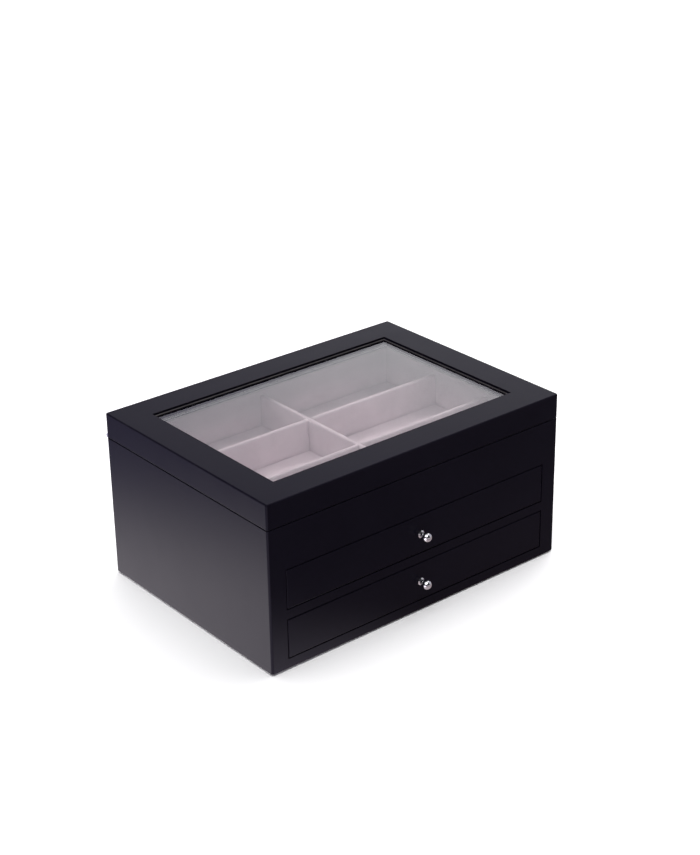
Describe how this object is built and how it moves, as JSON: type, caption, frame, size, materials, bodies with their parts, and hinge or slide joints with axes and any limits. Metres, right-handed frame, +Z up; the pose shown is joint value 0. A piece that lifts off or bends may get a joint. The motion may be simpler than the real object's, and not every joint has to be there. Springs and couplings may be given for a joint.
{
  "type": "jewelry box",
  "caption": "Table-top jewelry box of black lacquered wood with a framed glass lid over a divided velvet tray and inset drawers with ball knobs below it.",
  "frame": {"origin": "middle of the case's footprint on the underside of the base felt, which is the plane the box stands on", "axes": "+X to the right seen from the front, +Y from the drawer fronts to the back, +Z up"},
  "size_m": [0.311, 0.2392, 0.152],
  "materials": {
    "lacquer": "satin black lacquer with a faint blue cast over fibreboard",
    "drawer_wood": "matte black paint",
    "inner_wood": "matte black stained board",
    "velvet": "short pale mauve-grey velvet over card",
    "felt": "black felt",
    "glass": "clear float glass",
    "chrome": "polished chrome",
    "hinge_nickel": "nickel plated, satin",
    "screw_steel": "nickel plated",
    "rubber": "soft black rubber"
  },
  "bodies": {
    "case": {"side_panel_left": "lacquer", "side_panel_right": "lacquer", "back_panel": "lacquer", "front_stile_left": "lacquer", "front_stile_right": "lacquer", "front_top_rail": "lacquer", "front_middle_rail": "lacquer", "front_bottom_rail": "lacquer", "bottom_panel": "lacquer", "base_felt": "felt", "drawer_shelf": "inner_wood", "tray_floor": "inner_wood", "lower_runner_left": "inner_wood", "lower_runner_right": "inner_wood", "upper_runner_left": "inner_wood", "upper_runner_right": "inner_wood", "drawer_bumpers": "rubber", "lid_bumpers": "rubber", "tray_floor_pad": "velvet", "tray_lining_front": "velvet", "tray_lining_back": "velvet", "tray_lining_left": "velvet", "tray_lining_right": "velvet", "tray_divider_front": "velvet", "tray_divider_rear": "velvet", "tray_divider_cross": "velvet", "hinge_case_leaf": "hinge_nickel", "hinge_pin": "hinge_nickel", "hinge_case_screws": "screw_steel"},
    "lid": {"lid_rail_front": "lacquer", "lid_rail_back": "lacquer", "lid_rail_left": "lacquer", "lid_rail_right": "lacquer", "glass_pane": "glass", "glass_beads_long": "lacquer", "glass_beads_short": "lacquer", "hinge_lid_leaf": "hinge_nickel", "hinge_lid_screws": "screw_steel"},
    "upper_drawer": {"upper_drawer_front": "lacquer", "upper_drawer_side_left": "drawer_wood", "upper_drawer_side_right": "drawer_wood", "upper_drawer_back": "drawer_wood", "upper_drawer_bottom": "inner_wood", "upper_drawer_lining": "velvet", "upper_drawer_pad": "velvet", "upper_drawer_knob": "chrome", "upper_drawer_knob_screw": "screw_steel", "upper_drawer_dividers": "velvet"},
    "lower_drawer": {"lower_drawer_front": "lacquer", "lower_drawer_side_left": "drawer_wood", "lower_drawer_side_right": "drawer_wood", "lower_drawer_back": "drawer_wood", "lower_drawer_bottom": "inner_wood", "lower_drawer_lining": "velvet", "lower_drawer_pad": "velvet", "lower_drawer_knob": "chrome", "lower_drawer_knob_screw": "screw_steel"}
  },
  "joints": [
    {"name": "lid_hinge", "type": "hinge", "parent": "case", "child": "lid", "pos_m": [0, 0.1132, 0.1296], "axis": [-1, 0, 0], "range_deg": [0, 95]},
    {"name": "upper_drawer_slide", "type": "slide", "parent": "case", "child": "upper_drawer", "axis": [0, -1, 0], "range_m": [0, 0.16]},
    {"name": "lower_drawer_slide", "type": "slide", "parent": "case", "child": "lower_drawer", "axis": [0, -1, 0], "range_m": [0, 0.16]}
  ]
}
